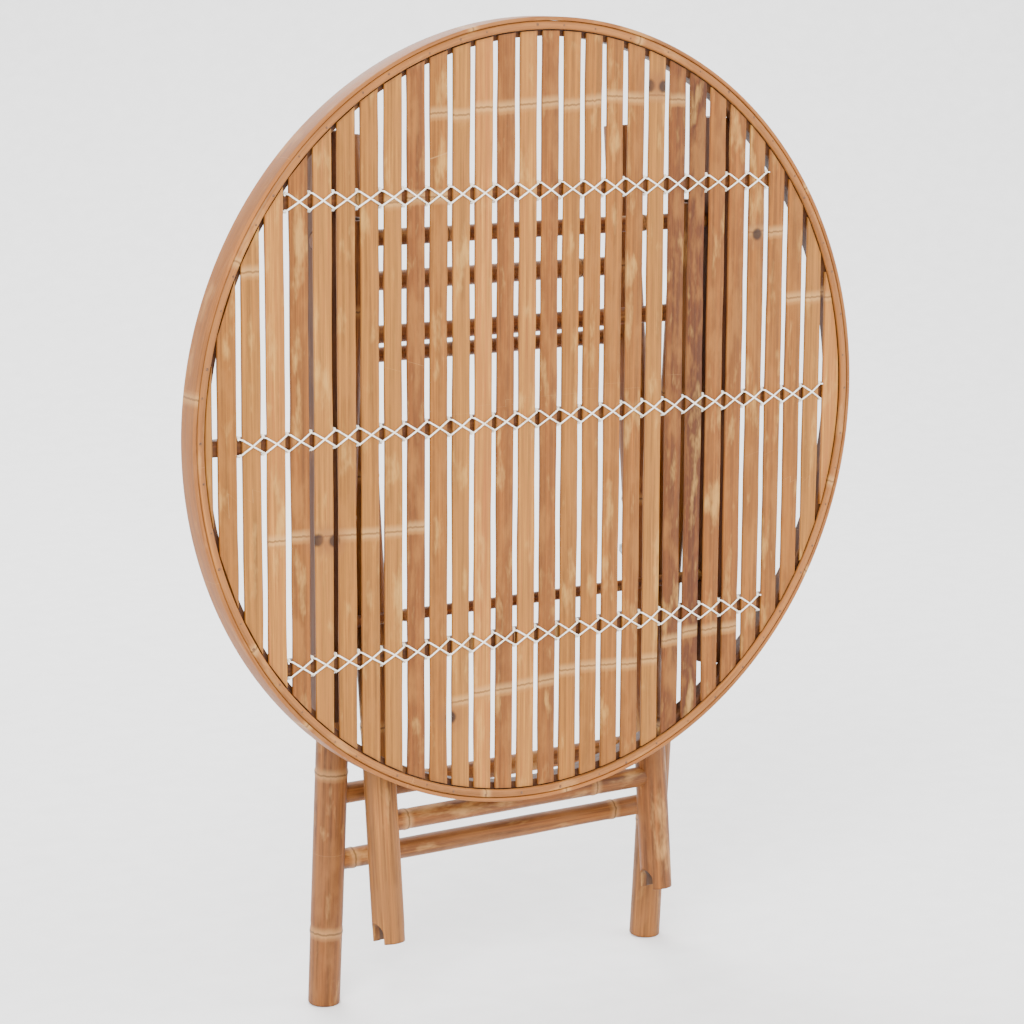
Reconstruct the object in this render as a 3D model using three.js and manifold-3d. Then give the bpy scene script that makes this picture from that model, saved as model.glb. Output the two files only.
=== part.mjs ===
// Folding bamboo tray table: a round slatted top on two crossing leg frames.
// Millimetres, +Z up. Drawn folded: the top stands upright and faces -Y, the legs hang behind it.
// The origin is the centre of the outer frame's top rung, which is the hinge axis of the top.
import * as THREE from 'three';
import { mergeVertices } from 'three/addons/utils/BufferGeometryUtils.js';
import Module from 'manifold-3d';

const wasm = await Module();
wasm.setup();

// ---- top -------------------------------------------------------------------
const HINGE = { y: 40, z: 162 };          // hinge axis, from the centre of the top's front face
const TOP_X = -4;                         // the hoop's centre is this far left of the legs' middle
const TOP_R = 350;                        // outside radius of the hoop
const BAND = { inner: 346.5, front: -2, back: 20.6 };
const LIP = { inner: 339, outer: 346.2, front: -2.6, back: 2.9 };
const RING = { inner: 333, outer: 346.2, front: 3.3, back: 19 };
const SLAT = { pitch: 23, gap: 5.2, thick: 3, first: -328, end_r: 337.8, count: 30 };
const ROWS = { upper: 199.5, middle: -2, lower: -198 };
const BATTEN = { high: 14, front: 3.3, back: 15.7 };
const CORD = { size: 1.6, half: 8.4, front: -2, back: 17.4 };
const CLEAT = { x: 206, wide: 16, front: 19.3, back: 53.5, half: 256 };
const CATCH = { y: 36.5, z: -173, r: 6 };
// ---- leg frames ------------------------------------------------------------
const POLE_R = 15.5;
const OUTER_X = 180.5;                    // centre lines of the outer frame's legs
const INNER_X = 148.5;                     // centre lines of the inner frame's legs
const END_TO_HINGE = 18;
const HINGE_TO_PIVOT = 307.5;
const PIVOT_TO_FOOT = 393.5;
const PIVOT_TO_HEAD = END_TO_HINGE + HINGE_TO_PIVOT;
const OUTER_STEPS = { second: 103, low: 198, foot: 135 }; // rungs, measured from the nearer pole end
const INNER_STEPS = { head: 108, low: 194, foot: 129 };
const SOCKET = 9;                         // how far a rung enters its leg
const OUTER_LEAN = 4.1;                   // degrees from the top's plane, feet back
const INNER_LEAN = 6.0;                   // degrees from the top's plane, head forward
const SLOT = { r: 9.6, deep: 19 };        // saddle slot across each head of the inner frame
// ---- pivots ----------------------------------------------------------------
const BOLT_R = 3;
const FIT = 0.35;
const SIDES = 20;
const rad = THREE.MathUtils.degToRad;

// ---- helpers ---------------------------------------------------------------
function bare(geometry) {
  const g = geometry.index ? geometry.clone() : mergeVertices(geometry, 1e-4);
  g.deleteAttribute('normal');
  g.deleteAttribute('uv');
  return mergeVertices(g, 1e-4);
}

function solid(geometry) {
  const g = bare(geometry);
  return new wasm.Manifold(new wasm.Mesh({
    numProp: 3,
    vertProperties: new Float32Array(g.attributes.position.array),
    triVerts: new Uint32Array(g.index.array),
  }));
}

function geometryOf(manifold) {
  const m = manifold.getMesh();
  const g = new THREE.BufferGeometry();
  const n = m.numProp;
  const xyz = new Float32Array((m.vertProperties.length / n) * 3);
  for (let i = 0; i * n < m.vertProperties.length; i++) {
    for (let k = 0; k < 3; k++) xyz[i * 3 + k] = m.vertProperties[i * n + k];
  }
  g.setAttribute('position', new THREE.BufferAttribute(xyz, 3));
  g.setIndex(new THREE.BufferAttribute(new Uint32Array(m.triVerts), 1));
  return g;
}

function material(color, roughness = 0.55, metalness = 0) {
  return new THREE.MeshStandardMaterial({ color, roughness, metalness });
}

const BAMBOO = 0xc79a66, BAMBOO_DARK = 0xa97b4d, BAMBOO_POLE = 0xc0936a, CORD_COLOR = 0xece6da, STEEL = 0xb9bcc0;

function addMesh(group, name, geometry, mat) {
  const mesh = new THREE.Mesh(geometry, mat);
  mesh.name = name;
  group.add(mesh);
  return mesh;
}

// A box from its lowest and highest corners.
function box(x0, x1, y0, y1, z0, z1) {
  const g = new THREE.BoxGeometry(x1 - x0, y1 - y0, z1 - z0);
  g.translate((x0 + x1) / 2, (y0 + y1) / 2, (z0 + z1) / 2);
  return g;
}

// A round bar along X.
function barX(r, x0, x1, y = 0, z = 0, sides = SIDES) {
  const g = new THREE.CylinderGeometry(r, r, x1 - x0, sides);
  g.rotateZ(Math.PI / 2);
  g.translate((x0 + x1) / 2, y, z);
  return g;
}

// A ring round the Y axis from a closed profile of [radius, y] points.
function ringY(profile, segments = 48) {
  const pts = profile.map(([r, y]) => new THREE.Vector2(r, y));
  pts.push(pts[0].clone());
  return new THREE.LatheGeometry(pts, segments);
}

// A flat outline in X and Z, given depth from y0 to y1.
function plateXZ(points, y0, y1) {
  const shape = new THREE.Shape(points.map(([x, z]) => new THREE.Vector2(x, z)));
  const g = new THREE.ExtrudeGeometry(shape, { depth: y1 - y0, bevelEnabled: false });
  g.rotateX(Math.PI / 2);
  g.translate(0, y1, 0);
  return g;
}

// ---- the round top ---------------------------------------------------------
const slatEdge = (k) => SLAT.first + SLAT.pitch * k;      // centre of gap k

function slatSpan(i) {
  const left = i === 0 ? -SLAT.end_r + 0.2 : slatEdge(i - 1) + SLAT.gap / 2;
  const right = i === SLAT.count - 1 ? SLAT.end_r - 0.2 : slatEdge(i) - SLAT.gap / 2;
  return [left, right];
}

function slatGeometry(i) {
  const [x0, x1] = slatSpan(i);
  const xs = [x0, (x0 + x1) / 2, x1];
  const half = (x) => Math.sqrt(Math.max(SLAT.end_r ** 2 - x * x, 4));
  const outline = [...xs.map((x) => [x, -half(x)]), ...xs.slice().reverse().map((x) => [x, half(x)])];
  return plateXZ(outline, 0, SLAT.thick);
}

// The cord's way through one gap: back over the batten, down behind it and forward under it.
function loop(x, z) {
  const s = CORD.size / 2, out = CORD.half + s, inn = CORD.half - s;
  const u = [[CORD.front, -out], [CORD.back, -out], [CORD.back, out], [CORD.front, out],
    [CORD.front, inn], [CORD.back - CORD.size, inn], [CORD.back - CORD.size, -inn], [CORD.front, -inn]];
  const shape = new THREE.Shape(u.map(([y, h]) => new THREE.Vector2(y, h)));
  const g = new THREE.ExtrudeGeometry(shape, { depth: CORD.size, bevelEnabled: false });
  g.applyMatrix4(new THREE.Matrix4().set(0, 0, 1, x - s, 1, 0, 0, 0, 0, 1, 0, z, 0, 0, 0, 1));
  return g;
}

// One row of lashing: a cord crossed over every slat, and carried round the batten in every gap.
function lashing(z) {
  const s = CORD.size / 2, h = CORD.half;
  const reach = Math.sqrt(RING.inner ** 2 - (Math.abs(z) + h + 3) ** 2);
  const edge = Math.sqrt(SLAT.end_r ** 2 - (Math.abs(z) + h) ** 2);
  const parts = [];
  for (let i = 0; i < SLAT.count; i++) {
    const a = Math.max(i === 0 ? -edge : slatEdge(i - 1), -edge + 1);
    const b = Math.min(i === SLAT.count - 1 ? edge : slatEdge(i), edge - 1);
    if (b - a < SLAT.pitch * 0.6) continue;
    for (const way of [1, -1]) {
      const length = Math.hypot(b - a, 2 * h);
      const strand = new THREE.BoxGeometry(length, CORD.size, CORD.size);
      strand.rotateY(-way * Math.atan2(2 * h, b - a));
      strand.translate((a + b) / 2, CORD.front + s, z);
      parts.push(solid(strand));
    }
  }
  for (let k = 0; k < SLAT.count - 1; k++) {
    const x = slatEdge(k);
    if (Math.abs(x) > reach - 3) continue;
    parts.push(solid(loop(x, z)));
  }
  return geometryOf(wasm.Manifold.union(parts).simplify(0.01));
}

function batten(z) {
  const reach = Math.sqrt((RING.inner - 1) ** 2 - (Math.abs(z) + BATTEN.high / 2) ** 2) - 0.3;
  return box(-reach, reach, BATTEN.front, BATTEN.back, z - BATTEN.high / 2, z + BATTEN.high / 2);
}

function buildTop() {
  const top = new THREE.Group();
  top.position.set(TOP_X, -HINGE.y, -HINGE.z);
  addMesh(top, 'hoop_band', ringY([[BAND.inner, BAND.front], [TOP_R, BAND.front],
    [TOP_R, BAND.back], [BAND.inner, BAND.back]]), material(BAMBOO, 0.5));
  const mid = (LIP.inner + LIP.outer) / 2;
  addMesh(top, 'hoop_lip', ringY([[LIP.inner, 0], [LIP.inner + 1.6, LIP.front + 0.8], [mid, LIP.front],
    [LIP.outer, LIP.front + 1.2], [LIP.outer, LIP.back], [LIP.inner, LIP.back]]), material(BAMBOO, 0.45));
  addMesh(top, 'support_ring', ringY([[RING.inner, RING.front], [RING.outer, RING.front],
    [RING.outer, RING.back], [RING.inner, RING.back]]), material(BAMBOO_DARK, 0.6));
  for (let i = 0; i < SLAT.count; i++) {
    addMesh(top, `slat_${String(i + 1).padStart(2, '0')}`, slatGeometry(i), material(BAMBOO, 0.5));
  }
  for (const [name, z] of Object.entries(ROWS)) {
    addMesh(top, `batten_${name}`, batten(z), material(BAMBOO_DARK, 0.6));
    addMesh(top, `lashing_${name}`, lashing(z), material(CORD_COLOR, 0.9));
  }
  for (const [name, side] of [['left', -1], ['right', 1]]) {
    const x = side * CLEAT.x - TOP_X;
    const body = solid(box(x - CLEAT.wide / 2, x + CLEAT.wide / 2, CLEAT.front, CLEAT.back, -CLEAT.half, CLEAT.half));
    const inner = x - side * CLEAT.wide / 2;
    const hole = (r, y, z) => solid(barX(r, Math.min(inner - side, inner + side * 19), Math.max(inner - side,
      inner + side * 19), y, z, 24));
    const cut = body.subtract(hole(8.2 + FIT, HINGE.y, HINGE.z)).subtract(hole(CATCH.r + FIT, CATCH.y, CATCH.z));
    addMesh(top, `cleat_${name}`, geometryOf(cut), material(BAMBOO_DARK, 0.6));
  }
  const reach = CLEAT.x - CLEAT.wide / 2 + 17;
  addMesh(top, 'catch_bar', barX(CATCH.r, -reach - TOP_X, reach - TOP_X, CATCH.y, CATCH.z), material(BAMBOO_DARK, 0.55));
  return top;
}

// ---- bamboo poles ----------------------------------------------------------
// A pole along Z from low to high.
function pole(low, high, r = POLE_R) {
  const g = new THREE.CylinderGeometry(r, r, high - low, SIDES);
  g.rotateX(Math.PI / 2);
  g.translate(0, 0, (low + high) / 2);
  return g;
}

// A leg at x with blind sockets for its rungs on the side that faces the other leg.
function leg(x, low, high, rungs, extra = []) {
  const g = pole(low, high);
  g.translate(x, 0, 0);
  let body = solid(g);
  const side = Math.sign(x);
  const face = Math.abs(x) - POLE_R;
  for (const { z, r } of rungs) {
    const a = side * (face + SOCKET + FIT), b = side * (face - 3);
    body = body.subtract(solid(barX(r + FIT, Math.min(a, b), Math.max(a, b), 0, z, 16)));
  }
  for (const tool of extra) body = body.subtract(tool);
  return geometryOf(body);
}

function rung(x, r, z) {
  const reach = Math.abs(x) - POLE_R + SOCKET;
  return barX(r, -reach, reach, 0, z);
}

// The round-bottomed slot across a head of the inner frame, which sits over the catch bar.
function headSlot(x, head) {
  const bottom = head + SLOT.deep - SLOT.r;
  const round = solid(barX(SLOT.r, x - POLE_R - 4, x + POLE_R + 4, 0, bottom, 24));
  return round.add(solid(box(x - POLE_R - 4, x + POLE_R + 4, -SLOT.r, SLOT.r, head - 5, bottom)));
}

// ---- frames ----------------------------------------------------------------
function buildOuterFrame() {
  const frame = new THREE.Group();
  frame.rotation.x = rad(OUTER_LEAN);
  const foot = -(HINGE_TO_PIVOT + PIVOT_TO_FOOT), head = END_TO_HINGE;
  const hinge = { z: 0, r: 8.2 };
  const rungs = [{ name: 'second', z: head - OUTER_STEPS.second, r: 8.8 },
    { name: 'low', z: foot + OUTER_STEPS.low, r: 10 }, { name: 'foot', z: foot + OUTER_STEPS.foot, r: 10.2 }];
  for (const [name, side] of [['left', -1], ['right', 1]]) {
    const through = solid(barX(hinge.r + FIT, OUTER_X - 20, OUTER_X + 20, 0, 0, 16).translate(
      side < 0 ? -2 * OUTER_X : 0, 0, 0));
    const bolt = solid(barX(BOLT_R + FIT, side * OUTER_X - 20, side * OUTER_X + 20, 0, -HINGE_TO_PIVOT, 16));
    addMesh(frame, `outer_leg_${name}`, leg(side * OUTER_X, foot, head, rungs, [through, bolt]),
      material(BAMBOO_POLE, 0.5));
  }
  const reach = CLEAT.x - CLEAT.wide / 2 + 17;
  addMesh(frame, 'outer_rung_hinge', barX(hinge.r, -reach, reach), material(BAMBOO_POLE, 0.55));
  for (const { name, z, r } of rungs) {
    addMesh(frame, `outer_rung_${name}`, rung(OUTER_X, r, z), material(BAMBOO_POLE, 0.55));
  }
  for (const [name, side] of [['left', -1], ['right', 1]]) {
    const tip = side * (INNER_X - POLE_R - 5.2), under = side * (OUTER_X + POLE_R + 0.4);
    const shaft = solid(barX(BOLT_R, Math.min(tip, under), Math.max(tip, under), 0, 0, 16));
    const cap = solid(barX(6, Math.min(under, under + side * 2.4), Math.max(under, under + side * 2.4), 0, 0, 16));
    const bolt = addMesh(frame, `pivot_bolt_${name}`, geometryOf(shaft.add(cap)), material(STEEL, 0.35, 0.9));
    const a = side * (INNER_X - POLE_R - 0.7), b = side * (INNER_X - POLE_R - 4.7);
    const nutBody = solid(barX(6, Math.min(a, b), Math.max(a, b), 0, 0, 6));
    const bore = solid(barX(BOLT_R + FIT, Math.min(a, b) - 1, Math.max(a, b) + 1, 0, 0, 16));
    const nut = addMesh(frame, `pivot_nut_${name}`, geometryOf(nutBody.subtract(bore)), material(STEEL, 0.35, 0.9));
    bolt.position.z = -HINGE_TO_PIVOT;
    nut.position.z = -HINGE_TO_PIVOT;
  }
  return frame;
}

function buildInnerFrame() {
  const frame = new THREE.Group();
  frame.position.z = -HINGE_TO_PIVOT;
  frame.rotation.x = -rad(OUTER_LEAN + INNER_LEAN);
  const foot = PIVOT_TO_FOOT, head = -PIVOT_TO_HEAD;
  const rungs = [{ name: 'head', z: head + INNER_STEPS.head, r: 10.2 },
    { name: 'low', z: foot - INNER_STEPS.low, r: 7.6 }, { name: 'foot', z: foot - INNER_STEPS.foot, r: 9.6 }];
  for (const [name, side] of [['left', -1], ['right', 1]]) {
    const x = side * INNER_X;
    const bolt = solid(barX(BOLT_R + FIT, x - 20, x + 20, 0, 0, 16));
    addMesh(frame, `inner_leg_${name}`, leg(x, head, foot, rungs, [bolt, headSlot(x, head)]),
      material(BAMBOO_POLE, 0.5));
  }
  for (const { name, z, r } of rungs) {
    addMesh(frame, `inner_rung_${name}`, rung(INNER_X, r, z), material(BAMBOO_POLE, 0.55));
  }
  return frame;
}

const table = new THREE.Group();
table.add(buildTop());
const outer = buildOuterFrame();
outer.add(buildInnerFrame());
table.add(outer);

export default table;
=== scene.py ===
"""Looks of a folding bamboo tray table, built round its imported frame."""

import math
import random

import bmesh
import bpy
from bpy.props import FloatProperty, IntProperty, PointerProperty, StringProperty
from mathutils import Matrix, Vector


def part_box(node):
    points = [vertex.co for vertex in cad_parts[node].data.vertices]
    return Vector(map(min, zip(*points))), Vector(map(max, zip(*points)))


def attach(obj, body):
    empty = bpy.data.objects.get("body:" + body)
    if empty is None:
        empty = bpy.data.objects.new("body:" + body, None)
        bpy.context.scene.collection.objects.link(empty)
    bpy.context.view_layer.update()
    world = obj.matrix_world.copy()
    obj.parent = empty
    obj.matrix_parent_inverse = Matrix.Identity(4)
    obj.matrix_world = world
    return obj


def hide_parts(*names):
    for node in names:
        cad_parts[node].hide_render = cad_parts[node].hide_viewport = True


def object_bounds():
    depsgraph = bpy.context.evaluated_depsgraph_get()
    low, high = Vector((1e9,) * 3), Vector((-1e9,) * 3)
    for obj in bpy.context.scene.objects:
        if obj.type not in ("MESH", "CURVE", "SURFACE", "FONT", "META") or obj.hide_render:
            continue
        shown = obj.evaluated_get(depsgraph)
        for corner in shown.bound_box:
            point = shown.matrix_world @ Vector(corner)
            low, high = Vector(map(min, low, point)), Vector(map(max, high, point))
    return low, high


bl_info = {
    "name": "Folding bamboo tray table",
    "version": (1, 0, 0),
    "blender": (4, 5, 0),
    "location": "3D View > Sidebar > Tray table",
    "description": "Builds the bamboo, cord and steel of a folding tray table round its frame",
    "category": "Object",
}

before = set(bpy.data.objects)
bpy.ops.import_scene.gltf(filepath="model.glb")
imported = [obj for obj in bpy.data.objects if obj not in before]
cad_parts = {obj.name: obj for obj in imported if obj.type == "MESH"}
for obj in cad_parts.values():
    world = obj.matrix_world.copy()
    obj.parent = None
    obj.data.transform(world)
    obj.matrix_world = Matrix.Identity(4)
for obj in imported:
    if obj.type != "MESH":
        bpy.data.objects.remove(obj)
CAD_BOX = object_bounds()
MM = 0.001

# ---- places that come from the frame ----------------------------------------
SLATS = sorted(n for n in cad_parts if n.startswith("slat_"))
ROWS = ("upper", "middle", "lower")
BAND_LO, BAND_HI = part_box("hoop_band")
HOOP_R = (BAND_HI.x - BAND_LO.x) / 2
CENTRE = Vector(((BAND_LO.x + BAND_HI.x) / 2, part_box("slat_15")[0].y, (BAND_LO.z + BAND_HI.z) / 2))
SLAT_R = max(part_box("slat_15")[1].z - CENTRE.z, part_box("slat_30")[1].x - CENTRE.x)

# ---- places and sizes chosen for this table, in metres unless a line says otherwise ----
WALLS = {"hoop_band": 0.0035, "hoop_lip": 0.0072, "support_ring": 0.0132}     # each ring, from inside to outside
STRIP_JOIN = math.radians(115)              # where the ends of a bent strip meet, round from the right
FOLDED_LEAN = {"outer": -1, "inner": 1}     # the outer legs lean back towards the feet, the inner ones forward
LACING_END = 0.012                          # the lacing stops this far inside the slats' ends
POLE_HOLLOW = 0.045                         # depth of the hollow in a pole's open end
BATTEN_ROW, BATTEN_EDGE = 0.008, 0.0022     # distance between rows of a batten's mesh, rounding of its long edges
CAMERA_PLACE = Vector((-1.480, -2.175, 0.408))      # from the top's centre
GLOW = 2.0                                  # strength of the even light from all round
# Soft lamps turned to the top's centre, as (place, side, watts).
LAMPS = {"key": ((-2.6, -2.6, 2.4), 2.0, 230), "fill": ((2.8, -2.4, 1.2), 2.5, 70),
         "back": ((0.5, 2.8, 2.6), 2.4, 150)}

# Culm nodes across the slats, as (from X, to X, height, slope) in mm from the top's centre.
CULM_NODES = (
    (-345, -275, 141, 0.02), (-288, -125, -84, -0.03), (-160, -98, 196, 0.03), (-122, 64, 268, 0.05),
    (62, 158, 281, -0.04), (-90, 20, -246, 0.03), (18, 142, -232, -0.05), (142, 222, -219, 0.04),
    (214, 268, 149, 0.05), (262, 345, 86, 0.03), (-345, -285, -232, 0.02), (222, 345, -262, 0.04),
)
# Black knots on the slats, as (X, height) in mm from the top's centre.
KNOTS = ((112, 288), (127, 287), (-231, -88), (-215, -90), (-97, -262), (236, 150))
# Nodes along each pole, in mm from its lower end.
POLE_NODES = {
    "outer_leg_left": (70, 221, 455, 640), "outer_leg_right": (118, 330, 540), "inner_leg_left": (196, 420, 618),
    "inner_leg_right": (150, 372, 590), "outer_rung_foot": (17, 305), "outer_rung_low": (96, 301),
    "outer_rung_second": (60, 268), "outer_rung_hinge": (132, 345), "inner_rung_head": (16, 222),
    "inner_rung_low": (84, 262), "inner_rung_foot": (30, 236), "catch_bar": (90, 330),
}


# ---- settings ----------------------------------------------------------------
class TrayTableSettings(bpy.types.PropertyGroup):
    """Sizes and colours that change how the table looks."""

    slat_row: FloatProperty(name="Slat row", description="Distance between rows of a slat's mesh",
                            default=0.006, min=0.002, max=0.05, unit="LENGTH")
    slat_edge: FloatProperty(name="Slat edge", description="Rounding of a slat's long edges",
                             default=0.0012, min=0.0003, max=0.003, unit="LENGTH")
    slat_wave: FloatProperty(name="Slat wave", description="How far a slat's edges wander",
                             default=0.0005, min=0.0, max=0.0015, unit="LENGTH")
    pole_row: FloatProperty(name="Pole row", description="Distance between rows of a pole's mesh",
                            default=0.003, min=0.002, max=0.05, unit="LENGTH")
    pole_ridge: FloatProperty(name="Node ridge", description="Height of the ridge at a pole's node",
                              default=0.0007, min=0.0, max=0.002, unit="LENGTH")
    pole_wall: FloatProperty(name="Pole wall", description="Thickness of a hollow pole's wall",
                             default=0.0045, min=0.002, max=0.009, unit="LENGTH")
    pole_sides: IntProperty(name="Pole sides", description="Facets round a pole", default=40, min=12, max=96)
    hoop_steps: IntProperty(name="Hoop steps", description="Steps round the hoop", default=216, min=48, max=720)
    brad_count: IntProperty(name="Brads", description="Nail heads round the hoop's lip", default=58, min=0, max=200)
    cord_radius: FloatProperty(name="Cord radius", description="Half the lashing cord's thickness",
                               default=0.00075, min=0.0004, max=0.0012, unit="LENGTH")
    slat_colour: StringProperty(name="Slat colour", description="Main colour of the slats, as sRGB hex",
                                default="#ae772e")
    pole_colour: StringProperty(name="Pole colour", description="Main colour of the poles, as sRGB hex",
                                default="#a26f3a")
    seed: IntProperty(name="Seed", description="Seed of the small variations", default=7)
    lens: FloatProperty(name="Lens", description="Focal length in mm", default=105.5, min=20, max=300)
    azimuth: FloatProperty(name="Azimuth", description="Camera's side angle", default=math.radians(-33.63),
                           unit="ROTATION")
    elevation: FloatProperty(name="Elevation", description="Camera's downward tilt", default=math.radians(10.65),
                             unit="ROTATION")
    roll: FloatProperty(name="Roll", description="Camera's roll", default=math.radians(0.3), unit="ROTATION")


def table_settings():
    return bpy.context.scene.tray_table


# ---- colour and node helpers ---------------------------------------------------
def linear(hex_colour):
    """An sRGB hex colour as linear RGBA."""
    channels = [int(hex_colour[k:k + 2], 16) / 255 for k in (1, 3, 5)]
    return (*(c / 12.92 if c <= 0.04045 else ((c + 0.055) / 1.055) ** 2.4 for c in channels), 1.0)


def add(mat, kind, inputs=None, out=0, stops=(), **values):
    """Adds a node with its settings, its inputs (values, hex colours or links) and a ramp's stops, and returns one of
    its outputs."""
    made = mat.node_tree.nodes.new("ShaderNode" + kind)
    for key, value in values.items():
        setattr(made, key, value)
    for key, value in (inputs or {}).items():
        if isinstance(value, bpy.types.NodeSocket):
            mat.node_tree.links.new(value, made.inputs[key])
        else:
            made.inputs[key].default_value = linear(value) if isinstance(value, str) else value
    for k, (place, colour) in enumerate(stops):
        element = made.color_ramp.elements[k] if k < 2 else made.color_ramp.elements.new(place)
        element.position, element.color = place, linear(colour)
    return made.outputs[out] if len(made.outputs) else made


def new_material(name):
    mat = bpy.data.materials.new(name)
    mat.use_nodes = True
    mat.node_tree.nodes.clear()
    return mat


def surface(mat, bump=None, **sockets):
    """The Principled surface, with its bump as (strength, distance in metres, height)."""
    inputs = {key.replace("_", " ").title().replace("Ior", "IOR"): value for key, value in sockets.items()}
    if bump:
        inputs["Normal"] = add(mat, "Bump", {"Strength": bump[0], "Distance": bump[1], "Height": bump[2]})
    add(mat, "OutputMaterial", {"Surface": add(mat, "BsdfPrincipled", inputs)})
    return mat


# ---- materials -------------------------------------------------------------------
# Noises of bamboo, as (scale along the grain, scale across it, detail, roughness), over the grain's millimetres.
GRAIN_NOISES = {
    "fibre": (0.010, 1.4, 5.0, 0.62), "coarse": (0.006, 0.30, 3.0, 0.55), "blotch": (0.016, 0.05, 4.0, 0.6),
    "hair": (0.03, 4.5, 2.0, 0.6), "fleck": (0.15, 1.1, 2.0, 0.5),
}


def bamboo(name, light, mid, red, dark, strength=1.0, band="#c99a5c", line="#4a2a12", knots=()):
    """Satin lacquered bamboo: fibres about 0.7 mm wide run along the grain, with broad streaks, reddish
    blotches, short dark flecks, and a pale band with a dark line where the culm had a node."""
    mat = new_material(name)
    grain = add(mat, "Attribute", attribute_name="grain", out=1)
    # The edge field sets where shade is painted; see the edge coats below.
    tone, near, edge = (add(mat, "Attribute", attribute_name=field, out=2) for field in ("tone", "node_mm", "edge"))
    noise = {}
    for kind, (along, across, detail, rough) in GRAIN_NOISES.items():
        spot = add(mat, "Mapping", {"Vector": grain, "Scale": (along, across, across)}, vector_type="POINT")
        noise[kind] = add(mat, "TexNoise", {"Vector": spot, "Scale": 1.0, "Detail": detail, "Roughness": rough})

    colour = add(mat, "ValToRGB", {0: tone}, stops=((0, light), (1, dark), (0.4, mid), (0.75, red)))
    streak = add(mat, "ValToRGB", {0: noise["fibre"]}, stops=((0.3, "#7f5530"), (0.8, "#f2dcb4"),
                                                              (0.47, "#b98f62"), (0.62, "#d8b587")))
    broad = add(mat, "ValToRGB", {0: noise["coarse"]}, stops=((0.3, "#5a5a5a"), (0.72, "#a8a8a8"),
                                                              (0.5, "#808080")))
    for shade, amount, way in ((streak, 0.6, "SOFT_LIGHT"), (broad, 0.8, "OVERLAY")):
        colour = add(mat, "Mix", {0: amount * strength, 6: colour, 7: shade}, out=2, data_type="RGBA", blend_type=way)

    # Millimetres from the node's dark line, and from the scar 5 mm below it, both made ragged by the coarse noise.
    ragged = add(mat, "Math", {0: noise["coarse"], 1: 3.0, 2: near}, operation="MULTIPLY_ADD")
    past = add(mat, "Math", {0: ragged, 1: 1.5}, operation="SUBTRACT")
    away = add(mat, "Math", {0: past}, operation="ABSOLUTE")
    below = add(mat, "Math", {0: add(mat, "Math", {0: past, 1: 5.0}, operation="ADD")}, operation="ABSOLUTE")

    # Coats of colour, as (field, its value where the coat starts, its value where it is full, paint, amount).
    coats = [
        (noise["blotch"], 0.46, 0.66, red, 0.55 * strength), (noise["blotch"], 0.46, 0.28, light, 0.55 * strength),
        (noise["hair"], 0.56, 0.72, dark, 0.5), (noise["fleck"], 0.69, 0.77, "#6b4022", 0.5),
        (away, 8.0, 1.0, band, 0.45), (below, 2.2, 0.3, red, 0.5), (away, 1.3, 0.4, line, 0.6),
        # The two edge coats are painted shade: along slat edges and slat ends at the hoop, along ring edges and cleat
        # sides, and near black inside a pole's hollow. They also darken a pole's cut ends.
        (edge, 0.55, 1.0, dark, 0.55), (edge, 1.5, 2.0, "#3a2414", 0.85),
    ]
    if knots:
        place = add(mat, "TexCoord", out=3)
        for x, z in knots:
            spot = (CENTRE.x + x * MM, CENTRE.y, CENTRE.z + z * MM)
            gap = add(mat, "VectorMath", {0: place, 1: spot}, out=1, operation="DISTANCE")
            rim = add(mat, "Math", {0: noise["hair"], 1: 0.003, 2: gap}, operation="MULTIPLY_ADD")
            coats += [(rim, 0.02, 0.009, "#7a4a22", 0.5), (rim, 0.0088, 0.0052, "#2a180e", 0.92)]
    for field, start, full, paint, amount in coats:
        mask = add(mat, "MapRange", {0: field, 1: start, 2: full}, interpolation_type="SMOOTHSTEP")
        part = add(mat, "Math", {0: mask, 1: amount}, operation="MULTIPLY")
        colour = add(mat, "Mix", {0: part, 6: colour, 7: paint}, out=2, data_type="RGBA")

    rough = add(mat, "MapRange", {0: noise["coarse"], 1: 0.3, 2: 0.7, 3: 0.46, 4: 0.62})
    ring = add(mat, "MapRange", {0: away, 1: 1.3, 2: 0.4}, interpolation_type="SMOOTHSTEP")
    height = add(mat, "Math", {0: ring, 1: -0.7, 2: noise["fibre"]}, operation="MULTIPLY_ADD")
    return surface(mat, (0.35, 0.0005, height), base_color=colour, roughness=rough, coat_weight=0.04,
                   coat_roughness=0.35, specular_ior_level=0.25)


def cord_white():
    """White cotton cord, soft and slightly soiled: two plies about 1 mm wide show as slanting hollows, darkened in
    colour as painted shade.
    """
    mat = new_material("cotton_cord_twisted")
    place = add(mat, "TexCoord", out=3)
    slant = add(mat, "Mapping", {"Vector": place, "Rotation": (0, 0.7, 0), "Scale": (900, 300, 300)})
    ply = add(mat, "TexNoise", {"Vector": slant, "Scale": 1.0, "Detail": 2.0})
    soil = add(mat, "TexNoise", {"Vector": place, "Scale": 45.0, "Detail": 2.0})
    # The colour's dark end is partly soil and partly painted shade in the grooves between the plies.
    both = add(mat, "Math", {0: soil, 1: 0.6, 2: ply}, operation="MULTIPLY_ADD")
    colour = add(mat, "ValToRGB", {0: both}, stops=((0.45, "#b3a184"), (0.95, "#fbf8f0"), (0.68, "#ece4d2")))
    return surface(mat, (0.5, 0.0003, ply), base_color=colour, roughness=0.85)


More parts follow.
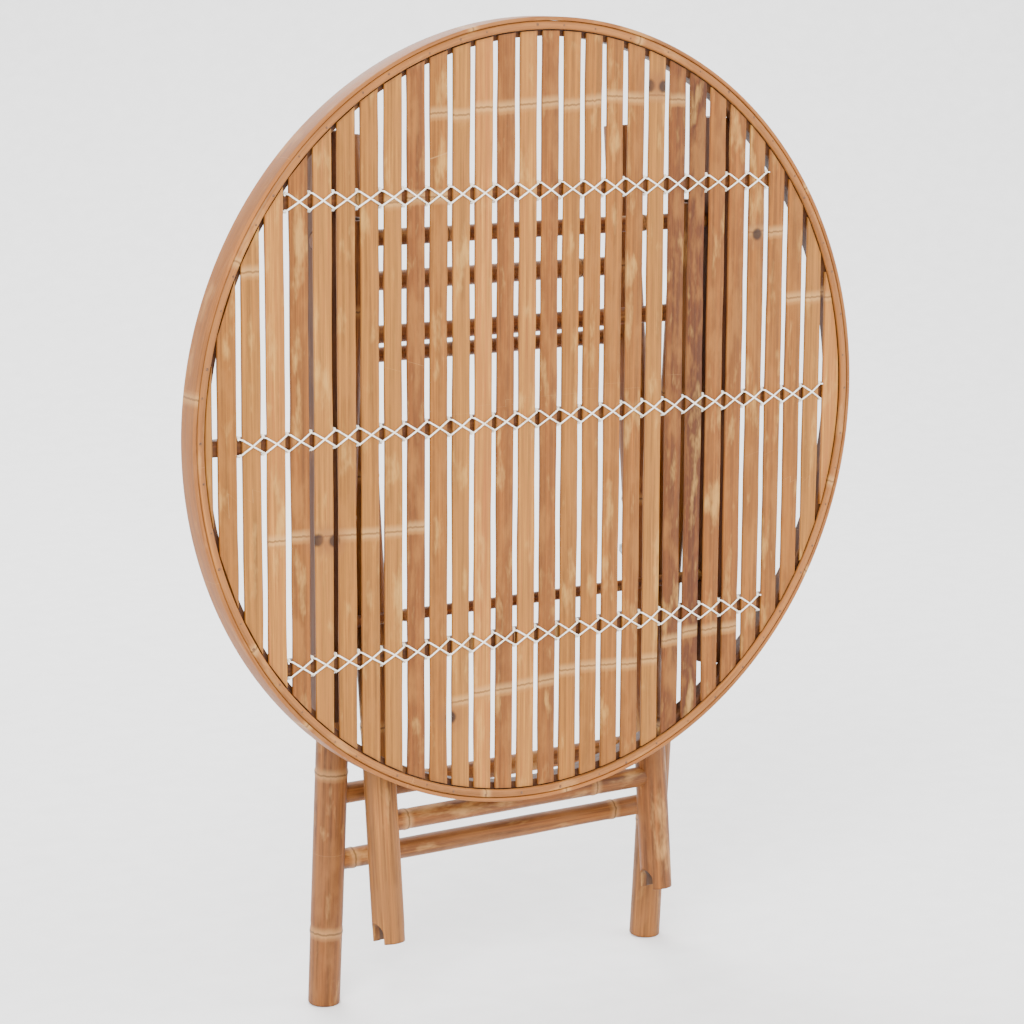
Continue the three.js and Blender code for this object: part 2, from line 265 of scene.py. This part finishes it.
def steel():
    """Zinc plated mild steel: a thin dull bloom, patches about 4 mm wide, and a faint turned grain."""
    mat = new_material("steel_zinc_plated")
    place = add(mat, "TexCoord", out=3)
    patch = add(mat, "TexNoise", {"Vector": place, "Scale": 240.0, "Detail": 3.0})
    lines = add(mat, "Mapping", {"Vector": place, "Scale": (3000, 200, 200)})
    turned = add(mat, "TexNoise", {"Vector": lines, "Scale": 1.0, "Detail": 2.0})
    colour = add(mat, "ValToRGB", {0: patch}, stops=((0.3, "#85878a"), (0.7, "#c3c5c7")))
    rough = add(mat, "MapRange", {0: patch, 1: 0.3, 2: 0.7, 3: 0.3, 4: 0.5})
    return surface(mat, (0.2, 0.0001, turned), base_color=colour, roughness=rough, metallic=1.0)


def brad_steel():
    """Cut nail heads, browned by lacquer and a little rust in patches under 1 mm."""
    mat = new_material("steel_brad_browned")
    rust = add(mat, "TexNoise", {"Vector": add(mat, "TexCoord", out=3), "Scale": 900.0, "Detail": 3.0})
    colour = add(mat, "ValToRGB", {0: rust}, stops=((0.35, "#4a2d1c"), (0.65, "#7a5334")))
    return surface(mat, (0.3, 0.0001, rust), base_color=colour, roughness=0.6, metallic=0.3)


def floor_paper():
    """Matt white seamless paper with a faint tooth, drawn 30 mm wide so that it shows at all."""
    mat = new_material("paper_matt_white")
    tooth = add(mat, "TexNoise", {"Vector": add(mat, "TexCoord", out=3), "Scale": 30.0, "Detail": 4.0})
    colour = add(mat, "ValToRGB", {0: tooth}, stops=((0.3, "#f2f2f2"), (0.7, "#f7f7f7")))
    return surface(mat, (0.02, 0.0005, tooth), base_color=colour, roughness=0.9)


MAKERS = {
    # Culms split into slats, skin side out: the yellowest, with knots, and each slat of its own tone.
    "slat": lambda: bamboo("bamboo_slat_satin", "#c69549", table_settings().slat_colour, "#966025", "#653a16",
                           knots=KNOTS),
    # Long strips bent round a form: an even straw brown, with the quietest streaks.
    "hoop": lambda: bamboo("bamboo_hoop_bent", "#bf8a4d", "#a97036", "#96602c", "#653a16", 0.9),
    # Whole thin culms, sanded and lacquered: the most mottled, with pale bands at the nodes.
    "pole": lambda: bamboo("bamboo_pole_satin", "#bc8a4e", table_settings().pole_colour, "#855428", "#583216",
                           1.2, "#b98a54", "#33200f"),
    # Split culms behind the slats: the same streaks on a much darker brown, which is painted shade for the shadow
    # behind the slats.
    "backing": lambda: bamboo("bamboo_backing_painted_shade", "#8a5c2e", "#6f4520", "#5e3919", "#452810"),
    "cord": cord_white, "steel": steel, "brad": brad_steel, "floor": floor_paper,
}
MADE = {}


def finish_of(name):
    """The named finish, made once."""
    if name not in MADE:
        MADE[name] = MAKERS[name]()
    return MADE[name]


# ---- mesh helpers --------------------------------------------------------------
def wander(seed, size=1.0, longest=260.0):
    """A smooth seeded wave of a length in mm, within -size..size."""
    rng = random.Random(seed)
    waves = [(1 / (k + 1), rng.uniform(0.7, 1.3) * (k + 1) / longest, rng.uniform(0, 2 * math.pi))
             for k in range(4)]
    return lambda s: size * sum(a * math.sin(2 * math.pi * f * s + p) for a, f, p in waves) / 2.1


def nearest(places, s, none=999.0):
    """Signed distance to s from the nearest of places."""
    return min((s - p for p in places), key=abs, default=none)


def to_object(bm, name, finish, body, nodes=(), describe=None, normals=True, sharp=35):
    """The bmesh as a piece that rides a body. describe(point) gives its grain (a vector in mm) and other fields."""
    if normals:
        bmesh.ops.recalc_face_normals(bm, faces=bm.faces)
    for face in bm.faces:
        face.smooth = True
    for e in bm.edges:
        e.smooth = len(e.link_faces) != 2 or e.calc_face_angle(0) < math.radians(sharp)
    mesh = bpy.data.meshes.new(name)
    bm.to_mesh(mesh)
    bm.free()
    if describe:
        fields = [describe(v.co) for v in mesh.vertices]
        grain = mesh.attributes.new("grain", "FLOAT_VECTOR", "POINT")
        grain.data.foreach_set("vector", [c for f in fields for c in f["grain"]])
        for key in ("tone", "node_mm", "edge"):
            layer = mesh.attributes.new(key, "FLOAT", "POINT")
            layer.data.foreach_set("value", [float(f.get(key, 0)) for f in fields])
    mesh.materials.append(finish_of(finish))
    obj = bpy.data.objects.new(name, mesh)
    bpy.context.scene.collection.objects.link(obj)
    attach(obj, body)
    if nodes:
        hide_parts(*nodes)
    return obj


def bar_mesh(lo, hi, rows, along=2, edge=0.0012):
    """A box between two corners, cut in rows along one axis, with its long edges rounded."""
    bm = bmesh.new()
    size = hi - lo
    bmesh.ops.create_cube(bm, size=1.0, matrix=Matrix.Translation((lo + hi) / 2) @ Matrix.Diagonal((*size, 1)))
    long_edges = [e for e in bm.edges if abs((e.verts[0].co - e.verts[1].co)[along]) > size[along] / 2]
    bmesh.ops.subdivide_edges(bm, edges=long_edges, cuts=rows, use_grid_fill=True)
    corner = [e for e in bm.edges if abs((e.verts[0].co - e.verts[1].co).normalized()[along]) > 0.9]
    bmesh.ops.bevel(bm, geom=corner, offset=edge, segments=3, profile=0.5, affect="EDGES", material=-1)
    return bm


# ---- slats -------------------------------------------------------------------------
def build_slat(name, index):
    """One split slat: its ends follow the hoop, its edges wander, and it dips a little between lashings."""
    s = table_settings()
    lo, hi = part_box(name)
    first, last = index == 0, index == len(SLATS) - 1
    bm = bar_mesh(lo, hi, int((hi.z - lo.z) / s.slat_row), 2, s.slat_edge)
    left, right = wander(index * 7 + s.seed, s.slat_wave), wander(index * 7 + 3 + s.seed, s.slat_wave)
    dip = wander(index * 7 + 5 + s.seed, 0.0002)
    width = hi.x - lo.x
    for v in bm.verts:
        x, z = v.co.x - CENTRE.x, v.co.z - CENTRE.z
        t = (v.co.x - lo.x) / width
        if first or last:       # a segment of the disc: its outer edge is the arc itself
            z *= 0.985
            arc = math.sqrt(max(SLAT_R ** 2 - z * z, 0)) * (-1 if first else 1)
            inner = (hi.x if first else lo.x) - CENTRE.x
            x = inner + (arc - inner) * ((1 - t) if first else t)
        else:
            z *= math.sqrt(SLAT_R ** 2 - x * x) / (max(abs(hi.z - CENTRE.z), abs(lo.z - CENTRE.z)))
            x += left(z / MM) * (1 - t) + right(z / MM) * t
        v.co.x, v.co.z = CENTRE.x + x, CENTRE.z + z
        v.co.y += abs(dip(z / MM)) * (1 if v.co.y < (lo.y + hi.y) / 2 else -0.3)
    rng = random.Random(index * 31 + s.seed)
    tone, offset, jog = rng.betavariate(1.3, 1.7), rng.uniform(0, 4000), rng.uniform(-2.5, 2.5)

    def describe(p):
        x, z = (p.x - CENTRE.x) / MM, (p.z - CENTRE.z) / MM
        mid = ((lo.x + hi.x) / 2 - CENTRE.x) / MM
        nodes = [h + jog + slope * (x - a) for a, b, h, slope in CULM_NODES if a <= mid <= b]
        # Painted shade: the edge field darkens a slat towards its long edges and towards its ends at the hoop.
        side = abs((p.x - lo.x) / width - 0.5) * 2
        end = 1 - min(abs(SLAT_R - math.hypot(p.x - CENTRE.x, p.z - CENTRE.z)) / 0.012, 1)
        return {"grain": (z + offset, x, p.y / MM), "tone": tone, "node_mm": nearest(nodes, z),
                "edge": max(side ** 6, end * 0.8)}

    return to_object(bm, "bamboo_" + name, "slat", "top", (name,), describe)


class TRAY_OT_slats(bpy.types.Operator):
    """Split bamboo slats of the top"""
    bl_idname = "tray_table.slats"
    bl_label = "Slats"

    def execute(self, context):
        for index, name in enumerate(SLATS):
            build_slat(name, index)
        return {"FINISHED"}


# ---- hoop --------------------------------------------------------------------------
def spin_ring(inner, outer, front, back, edge, wave, seed):
    """A ring of rectangular section about the top's axis, spun from its section, with rounded edges."""
    s = table_settings()
    bm = bmesh.new()
    section = [bm.verts.new((CENTRE.x + r, y, CENTRE.z)) for r, y in
               ((inner, front), (outer, front), (outer, back), (inner, back))]
    edges = [bm.edges.new((a, b)) for a, b in zip(section, section[1:] + section[:1])]
    turn = Matrix.Rotation(STRIP_JOIN, 4, "Y")
    bmesh.ops.rotate(bm, verts=section, cent=CENTRE, matrix=turn.to_3x3())
    bmesh.ops.spin(bm, geom=section + edges, cent=CENTRE, axis=(0, 1, 0), angle=2 * math.pi,
                   steps=s.hoop_steps, use_merge=True)
    bmesh.ops.remove_doubles(bm, verts=bm.verts, dist=1e-6)
    round_edges = [e for e in bm.edges if e.calc_face_angle(0) > 1.0]
    bmesh.ops.bevel(bm, geom=round_edges, offset=edge, segments=3, profile=0.5, affect="EDGES", material=-1)
    wobble = wander(seed, wave, 900.0)
    for v in bm.verts:
        d = v.co - CENTRE
        angle = math.atan2(d.z, d.x)
        flat = Vector((d.x, 0, d.z)).normalized()
        v.co -= flat * (wave + wobble(angle * outer / MM) * math.sin(angle / 2 + 1) ** 2) * 0.5
    return bm


def describe_ring(seed, tone, nodes, inner, outer):
    """Fields for a bent strip: grain runs round it, with the ends of the strip meeting low on the right, and shade
    painted along its inner and outer edges.
    """
    def describe(p):
        d = p - CENTRE
        turn = (math.atan2(d.z, d.x) + STRIP_JOIN) % (2 * math.pi)
        radius = math.hypot(d.x, d.z)
        along = turn * HOOP_R / MM
        # Painted shade close to the strip's inner and outer edges.
        brink = min(abs(radius - inner), abs(radius - outer)) / 0.0015
        return {"grain": (along + seed * 977, radius / MM, p.y / MM), "tone": tone,
                "node_mm": nearest(nodes, along), "edge": max(0.0, 0.8 - brink)}
    return describe


class TRAY_OT_hoop(bpy.types.Operator):
    """Bent bamboo hoop: outer band, front lip with its brads, and the ring behind the slats"""
    bl_idname = "tray_table.hoop"
    bl_label = "Hoop"

    def execute(self, context):
        # For each ring: rounding of its edges, wobble, tone, and its nodes in mm round the hoop.
        rings = {
            "hoop_band": (0.0009, 0.0002, 0.42, (180, 520, 905, 1330, 1760, 2080)),
            "hoop_lip": (0.0023, 0.0002, 0.30, (90, 610, 1150, 1640, 1990)),
            "support_ring": (0.0012, 0.0002, 0.9, (300, 800, 1500)),
        }
        for seed, (name, (edge, wave, tone, nodes)) in enumerate(rings.items()):
            lo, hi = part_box(name)
            outer = (hi.x - lo.x) / 2
            inner = outer - WALLS[name]
            front = lo.y + (0.0003 if name == "hoop_lip" else 0)
            bm = spin_ring(inner, outer, front, hi.y, edge, wave, seed)
            # The ring behind the slats takes the backing finish, darkened as painted shade.
            finish = "backing" if name == "support_ring" else "hoop"
            to_object(bm, "bent_" + name, finish, "top", (name,),
                      describe_ring(seed, tone, nodes, inner, outer))
        self.brads()
        return {"FINISHED"}

    def brads(self):
        """Low round nail heads at uneven steps round the lip."""
        s = table_settings()
        lo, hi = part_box("hoop_lip")
        middle = (hi.x - lo.x) / 2 - 0.0036
        rng = random.Random(s.seed + 5)
        bm = bmesh.new()
        for k in range(s.brad_count):
            angle = (k + rng.uniform(-0.22, 0.22)) * 2 * math.pi / s.brad_count
            r = middle + rng.uniform(-0.0012, 0.0012)
            place = Vector((CENTRE.x + r * math.cos(angle), lo.y + 0.0004, CENTRE.z + r * math.sin(angle)))
            size = rng.uniform(0.0009, 0.0015)
            bmesh.ops.create_uvsphere(bm, u_segments=8, v_segments=6, radius=1.0, matrix=(
                Matrix.Translation(place) @ Matrix.Diagonal((size, 0.0004, size, 1))))
        to_object(bm, "hoop_brads", "brad", "top", sharp=80)


# ---- lashings ------------------------------------------------------------------------
def cord_points(row, way, gaps):
    """Points of one lacing cord: it slants over a slat's front, dives through the gap, goes round the batten, and
    comes out again. way is 1 for the cord that goes down to the right and -1 for the one that goes up."""
    lo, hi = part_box("lashing_" + row)
    batten_lo, batten_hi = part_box("batten_" + row)
    r = table_settings().cord_radius
    mid = (lo.z + hi.z) / 2
    high = (hi.z - lo.z) / 2 - r
    back = hi.y - r
    over_slat = lo.y + r + (r * 0.45 if way > 0 else 0.0)
    drop = high * way
    pitch = gaps[1] - gaps[0]
    rng = random.Random(way + len(row))
    points = []
    for x in gaps:
        x += way * r * 1.08
        h = high * way * rng.uniform(0.72, 0.86)
        half_loop = [(0.001, CENTRE.y - r * 0.6, h), (0, CENTRE.y + 0.002, h), (0, batten_lo.y, drop),
                     (0, batten_hi.y - 0.001, drop * 0.97), (0, back, drop * 0.8)]
        points += [Vector((x - aside, y, mid - down)) for aside, y, down in half_loop]
        points += [Vector((x + aside, y, mid + down)) for aside, y, down in reversed(half_loop)]
        points.append(Vector((x + pitch / 2, over_slat, mid)))
    points.pop()
    return points


def lace(row):
    """Both cords of a row as one mesh, swept as round tubes along their routes."""
    s = table_settings()
    lo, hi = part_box("lashing_" + row)
    centre = (lo.z + hi.z) / 2 - CENTRE.z
    reach = math.sqrt(SLAT_R ** 2 - centre ** 2) - LACING_END
    gaps = [(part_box(a)[1].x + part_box(b)[0].x) / 2 for a, b in zip(SLATS, SLATS[1:])]
    gaps = [x for x in gaps if abs(x - CENTRE.x) < reach]
    curve = bpy.data.curves.new("lace_" + row, "CURVE")
    curve.dimensions, curve.bevel_depth, curve.bevel_resolution = "3D", s.cord_radius, 1
    curve.use_fill_caps = True
    for way in (1, -1):
        points = cord_points(row, way, gaps)
        spline = curve.splines.new("POLY")
        spline.points.add(len(points) - 1)
        for p, q in zip(spline.points, points):
            p.co = (*q, 1)
    holder = bpy.data.objects.new("lace_" + row, curve)
    bpy.context.scene.collection.objects.link(holder)
    swept = bpy.data.meshes.new_from_object(holder.evaluated_get(bpy.context.evaluated_depsgraph_get()))
    bpy.data.objects.remove(holder)
    bm = bmesh.new()
    bm.from_mesh(swept)
    to_object(bm, "lacing_" + row, "cord", "top", ("lashing_" + row,), sharp=80)


class TRAY_OT_lashings(bpy.types.Operator):
    """White cord that laces the slats to the battens"""
    bl_idname = "tray_table.lashings"
    bl_label = "Lashings"

    def execute(self, context):
        for row in ROWS:
            lace(row)
        return {"FINISHED"}


# ---- backing: battens, cleats, catch bar ---------------------------------------------
class TRAY_OT_backing(bpy.types.Operator):
    """Split bamboo battens, the two cleats that carry the hinge rung, and the catch bar"""
    bl_idname = "tray_table.backing"
    bl_label = "Backing"

    def execute(self, context):
        for k, row in enumerate(ROWS):
            lo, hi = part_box("batten_" + row)
            bm = bar_mesh(lo, hi, int((hi.x - lo.x) / BATTEN_ROW), 0, BATTEN_EDGE)
            wave = wander(50 + k, 0.0004)
            for v in bm.verts:
                v.co.z += wave(v.co.x / MM) * (1 - abs(v.co.z - (lo.z + hi.z) / 2) / (hi.z - lo.z))

            def describe(p, k=k):
                x = (p.x - CENTRE.x) / MM
                return {"grain": (x + k * 700, p.z / MM, p.y / MM), "tone": 0.35 + 0.2 * k,
                        "node_mm": nearest((-190 + 60 * k, 95 - 40 * k), x), "edge": 0}
            to_object(bm, "split_batten_" + row, "backing", "top", ("batten_" + row,), describe)
        for side in ("left", "right"):
            lo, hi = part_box("cleat_" + side)
            cad = bmesh.new()
            cad.from_mesh(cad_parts["cleat_" + side].data)
            bmesh.ops.remove_doubles(cad, verts=cad.verts, dist=1e-6)

            # Painted shade along the cleat's sides.
            def describe(p, side=side):
                return {"grain": (p.z / MM + (900 if side == "left" else 0), p.x / MM, p.y / MM), "tone": 0.6,
                        "node_mm": 999, "edge": 0.7 if min(p.x - lo.x, hi.x - p.x) < 0.0004 else 0}
            to_object(cad, "cut_cleat_" + side, "backing", "top", ("cleat_" + side,), describe,
                      normals=False)
        build_pole("catch_bar", "top", tone=0.7, hollow=False)
        return {"FINISHED"}


# ---- poles -----------------------------------------------------------------------------
def pole_line(name):
    """Lower or left end, upper or right end, and radius of a pole, worked out from its box. A leg leans in the YZ
    plane, so its length and lean are found from the box's height and depth."""
    lo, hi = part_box(name)
    middle, size = (lo + hi) / 2, hi - lo
    if size.x > size.z:
        half = Vector((size.x / 2, 0, 0))
        return middle - half, middle + half, size.y / 2
    r, lean = size.x / 2, 0.0
    for _ in range(30):
        length = (size.z - 2 * r * math.sin(lean)) / math.cos(lean)
        lean = math.asin((size.y - 2 * r * math.cos(lean)) / length)
    way = FOLDED_LEAN[name.split("_")[0]]
    half = Vector((0, way * math.sin(lean), math.cos(lean))) * length / 2
    return middle - half, middle + half, r


def cut_away(obj, *cutters):
    """Cuts closed bmeshes out of a piece's mesh."""
    for cutter in cutters:
        mesh = bpy.data.meshes.new("cutter")
        bmesh.ops.recalc_face_normals(cutter, faces=cutter.faces)
        cutter.to_mesh(mesh)
        cutter.free()
        tool = bpy.data.objects.new("cutter", mesh)
        bpy.context.scene.collection.objects.link(tool)
        cut = obj.modifiers.new("cut", "BOOLEAN")
        cut.object, cut.operation, cut.solver = tool, "DIFFERENCE", "EXACT"
        bpy.context.view_layer.update()
        result = bpy.data.meshes.new_from_object(obj.evaluated_get(bpy.context.evaluated_depsgraph_get()))
        obj.modifiers.remove(cut)
        obj.data = result
        bpy.data.objects.remove(tool)


def pole_mesh(name, hollow):
    """A pole standing on Z from 0, in metres: a cylinder with node ridges, a slightly uneven and oval girth, and
    rounded rims.
    """
    s = table_settings()
    a, b, r = pole_line(name)
    length = (b - a).length
    seed = sum(map(ord, name))
    bm = bmesh.new()
    bmesh.ops.create_cone(bm, cap_ends=True, segments=s.pole_sides, radius1=r, radius2=r, depth=length,
                          matrix=Matrix.Translation((0, 0, length / 2)))
    tall = [e for e in bm.edges if abs(e.verts[0].co.z - e.verts[1].co.z) > length / 2]
    bmesh.ops.subdivide_edges(bm, edges=tall, cuts=int(length / s.pole_row), use_grid_fill=True)
    swell, oval = wander(seed, 0.0003, 500.0), wander(seed + 1, 0.0002, 400.0)
    body = r - s.pole_ridge
    for v in bm.verts:
        z = v.co.z / MM
        gap = nearest(POLE_NODES.get(name, ()), z)
        ridge = math.exp(-(gap / 2.2) ** 2) - 0.35 * math.exp(-((gap - 4.5) / 2.0) ** 2)
        angle = math.atan2(v.co.y, v.co.x)
        radius = body + s.pole_ridge * ridge - abs(swell(z)) - abs(oval(z)) * (1 + math.cos(2 * angle + seed)) / 2
        v.co.x, v.co.y = radius * math.cos(angle), radius * math.sin(angle)
    caps = [f for f in bm.faces if abs(f.normal.z) > 0.9 and len(f.verts) > 8]
    if hollow:
        for cap in caps:
            up = cap.calc_center_median().z > length / 2
            bmesh.ops.inset_region(bm, faces=[cap], thickness=s.pole_wall, use_even_offset=True)
            grown = bmesh.ops.extrude_discrete_faces(bm, faces=[cap])["faces"]
            bmesh.ops.translate(bm, verts=grown[0].verts[:], vec=(0, 0, -POLE_HOLLOW if up else POLE_HOLLOW))
    rims = [e for e in bm.edges if len(e.link_faces) == 2 and min(f.calc_area() for f in e.link_faces) > 0
            and e.calc_face_angle(0) > 1.2 and min(abs(v.co.z - k) for v in e.verts for k in (0, length)) < 1e-5]
    bmesh.ops.bevel(bm, geom=rims, offset=0.0009, segments=2, profile=0.5, affect="EDGES", material=-1)
    return bm, a, b, r


def build_pole(name, body, tone=0.4, hollow=True, cutters=()):
    """A bamboo pole in its place, with its grain along it."""
    bm, a, b, r = pole_mesh(name, hollow)
    axis = (b - a).normalized()
    place = Matrix.Translation(a) @ Vector((0, 0, 1)).rotation_difference(axis).to_matrix().to_4x4()
    length = (b - a).length
    seed = sum(map(ord, name))
    if cutters:
        bmesh.ops.recalc_face_normals(bm, faces=bm.faces)
        mesh = bpy.data.meshes.new("uncut")
        bm.to_mesh(mesh)
        bm.free()
        raw = bpy.data.objects.new("uncut", mesh)
        bpy.context.scene.collection.objects.link(raw)
        cut_away(raw, *cutters)
        bm = bmesh.new()
        bm.from_mesh(raw.data)
        bpy.data.objects.remove(raw)
    bmesh.ops.transform(bm, matrix=place, verts=bm.verts)
    back = place.inverted()

    def describe(p):
        q = back @ p
        z, radius = q.z / MM, math.hypot(q.x, q.y)
        # Painted shade: near black inside the hollow. The cut ends are darkened too.
        inside = 2.0 if radius < r - 0.003 else 0.0
        rim = 0.9 if min(q.z, length - q.z) < 0.0012 else 0.0
        return {"grain": (z + seed * 37, q.x / MM + seed, q.y / MM), "tone": tone,
                "node_mm": nearest(POLE_NODES.get(name, ()), z), "edge": max(inside, rim)}
    return to_object(bm, "bamboo_" + name, "pole", body, (name,), describe, sharp=50)


class TRAY_OT_outer_frame(bpy.types.Operator):
    """Outer legs and the rungs between them"""
    bl_idname = "tray_table.outer_frame"
    bl_label = "Outer frame"

    def execute(self, context):
        build_pole("outer_leg_left", "outer_frame", 0.45)
        build_pole("outer_leg_right", "outer_frame", 0.25)
        for name, tone in (("hinge", 0.6), ("second", 0.55), ("low", 0.35), ("foot", 0.4)):
            build_pole("outer_rung_" + name, "outer_frame", tone, hollow=False)
        return {"FINISHED"}


class TRAY_OT_inner_frame(bpy.types.Operator):
    """Inner legs, with the U slots in their heads, and the rungs between them"""
    bl_idname = "tray_table.inner_frame"
    bl_label = "Inner frame"

    slot_radius: FloatProperty(name="Slot radius", description="Half the width of a head's slot",
                               default=0.0096, unit="LENGTH")
    slot_depth: FloatProperty(name="Slot depth", description="Depth of a head's slot", default=0.019, unit="LENGTH")

    def slot_cutters(self):
        """The slot as a round end and a straight run out of the pole, both across it."""
        arch = self.slot_depth - self.slot_radius
        round_end, run = bmesh.new(), bmesh.new()
        bmesh.ops.create_cone(round_end, cap_ends=True, segments=48, radius1=self.slot_radius,
                              radius2=self.slot_radius, depth=0.06,
                              matrix=Matrix.Translation((0, 0, arch)) @ Matrix.Rotation(math.pi / 2, 4, "Y"))
        bmesh.ops.create_cube(run, size=1.0, matrix=Matrix.Translation((0, 0, arch / 2 - 0.01)) @ Matrix.Diagonal(
            (0.0601, 2 * self.slot_radius - 0.00001, arch + 0.02, 1)))
        return round_end, run

    def execute(self, context):
        build_pole("inner_leg_left", "inner_frame", 0.2, cutters=self.slot_cutters())
        build_pole("inner_leg_right", "inner_frame", 0.5, cutters=self.slot_cutters())
        for name, tone in (("head", 0.5), ("low", 0.6), ("foot", 0.35)):
            build_pole("inner_rung_" + name, "inner_frame", tone, hollow=False)
        return {"FINISHED"}


# ---- hardware ---------------------------------------------------------------------------
class TRAY_OT_hardware(bpy.types.Operator):
    """Pivot bolts and nuts"""
    bl_idname = "tray_table.hardware"
    bl_label = "Hardware"

    def execute(self, context):
        for side in ("left", "right"):
            for part in ("pivot_bolt_", "pivot_nut_"):
                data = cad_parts[part + side].data
                data.materials.clear()
                data.materials.append(finish_of("steel"))
        return {"FINISHED"}


# ---- stage --------------------------------------------------------------------------------
class TRAY_OT_stage(bpy.types.Operator):
    """Pale floor, soft light and the camera"""
    bl_idname = "tray_table.stage"
    bl_label = "Stage"

    def light(self, name, place, size, power):
        lamp = bpy.data.lights.new(name, "AREA")
        lamp.shape, lamp.size, lamp.energy = "SQUARE", size, power
        obj = bpy.data.objects.new(name, lamp)
        obj.location = place
        obj.rotation_euler = (CENTRE - Vector(place)).to_track_quat("-Z", "Y").to_euler()
        bpy.context.scene.collection.objects.link(obj)

    def execute(self, context):
        s = table_settings()
        scene = context.scene
        bm = bmesh.new()
        low = CAD_BOX[0].z
        bmesh.ops.create_grid(bm, x_segments=1, y_segments=1, size=6.0, matrix=Matrix.Translation((0, -1, low)))
        far = [e for e in bm.edges if all(v.co.y > 4 for v in e.verts)]
        rise = bmesh.ops.extrude_edge_only(bm, edges=far)["geom"]
        bmesh.ops.translate(bm, verts=[g for g in rise if isinstance(g, bmesh.types.BMVert)], vec=(0, 0, 7))
        bmesh.ops.bevel(bm, geom=far, offset=2.5, segments=16, profile=0.5, affect="EDGES", material=-1)
        bmesh.ops.rotate(bm, verts=bm.verts, matrix=Matrix.Rotation(s.azimuth, 3, "Z"))
        for face in bm.faces:
            face.smooth = True
        mesh = bpy.data.meshes.new("floor")
        bm.to_mesh(mesh)
        bm.free()
        mesh.materials.append(finish_of("floor"))
        floor = bpy.data.objects.new("floor", mesh)
        scene.collection.objects.link(floor)

        world = bpy.data.worlds.new("studio")
        world.use_nodes = True
        world.node_tree.nodes["Background"].inputs[0].default_value = linear("#fdfdfd")
        world.node_tree.nodes["Background"].inputs[1].default_value = GLOW
        scene.world = world
        for name, (place, size, power) in LAMPS.items():
            self.light(name, place, size, power)

        lens = bpy.data.cameras.new("camera")
        lens.sensor_width, lens.lens = 36.0, s.lens
        lens.clip_end = 60
        camera = bpy.data.objects.new("camera", lens)
        camera.location = CENTRE + CAMERA_PLACE
        turn = Matrix.Rotation(s.azimuth, 3, "Z") @ Matrix.Rotation(math.pi / 2 - s.elevation, 3, "X")
        camera.rotation_euler = (turn @ Matrix.Rotation(s.roll, 3, "Z")).to_euler()
        scene.collection.objects.link(camera)
        scene.camera = camera
        return {"FINISHED"}


class TRAY_PT_panel(bpy.types.Panel):
    """Lists the table's pieces"""
    bl_idname = "TRAY_PT_panel"
    bl_label = "Tray table"
    bl_space_type = "VIEW_3D"
    bl_region_type = "UI"
    bl_category = "Tray table"

    def draw(self, context):
        for name in ("slat_row", "slat_edge", "slat_wave", "pole_ridge", "cord_radius", "slat_colour", "pole_colour"):
            self.layout.prop(context.scene.tray_table, name)
        for operator in OPERATORS:
            self.layout.operator(operator.bl_idname)


OPERATORS = (TRAY_OT_slats, TRAY_OT_hoop, TRAY_OT_lashings, TRAY_OT_backing, TRAY_OT_outer_frame,
             TRAY_OT_inner_frame, TRAY_OT_hardware, TRAY_OT_stage)
CLASSES = (TrayTableSettings, *OPERATORS, TRAY_PT_panel)


def register():
    for cls in CLASSES:
        bpy.utils.register_class(cls)
    bpy.types.Scene.tray_table = PointerProperty(type=TrayTableSettings)


def unregister():
    del bpy.types.Scene.tray_table
    for cls in reversed(CLASSES):
        bpy.utils.unregister_class(cls)


def main():
    register()
    for operator in OPERATORS:
        group, name = operator.bl_idname.split(".")
        getattr(getattr(bpy.ops, group), name)()


if __name__ == "__main__":
    main()
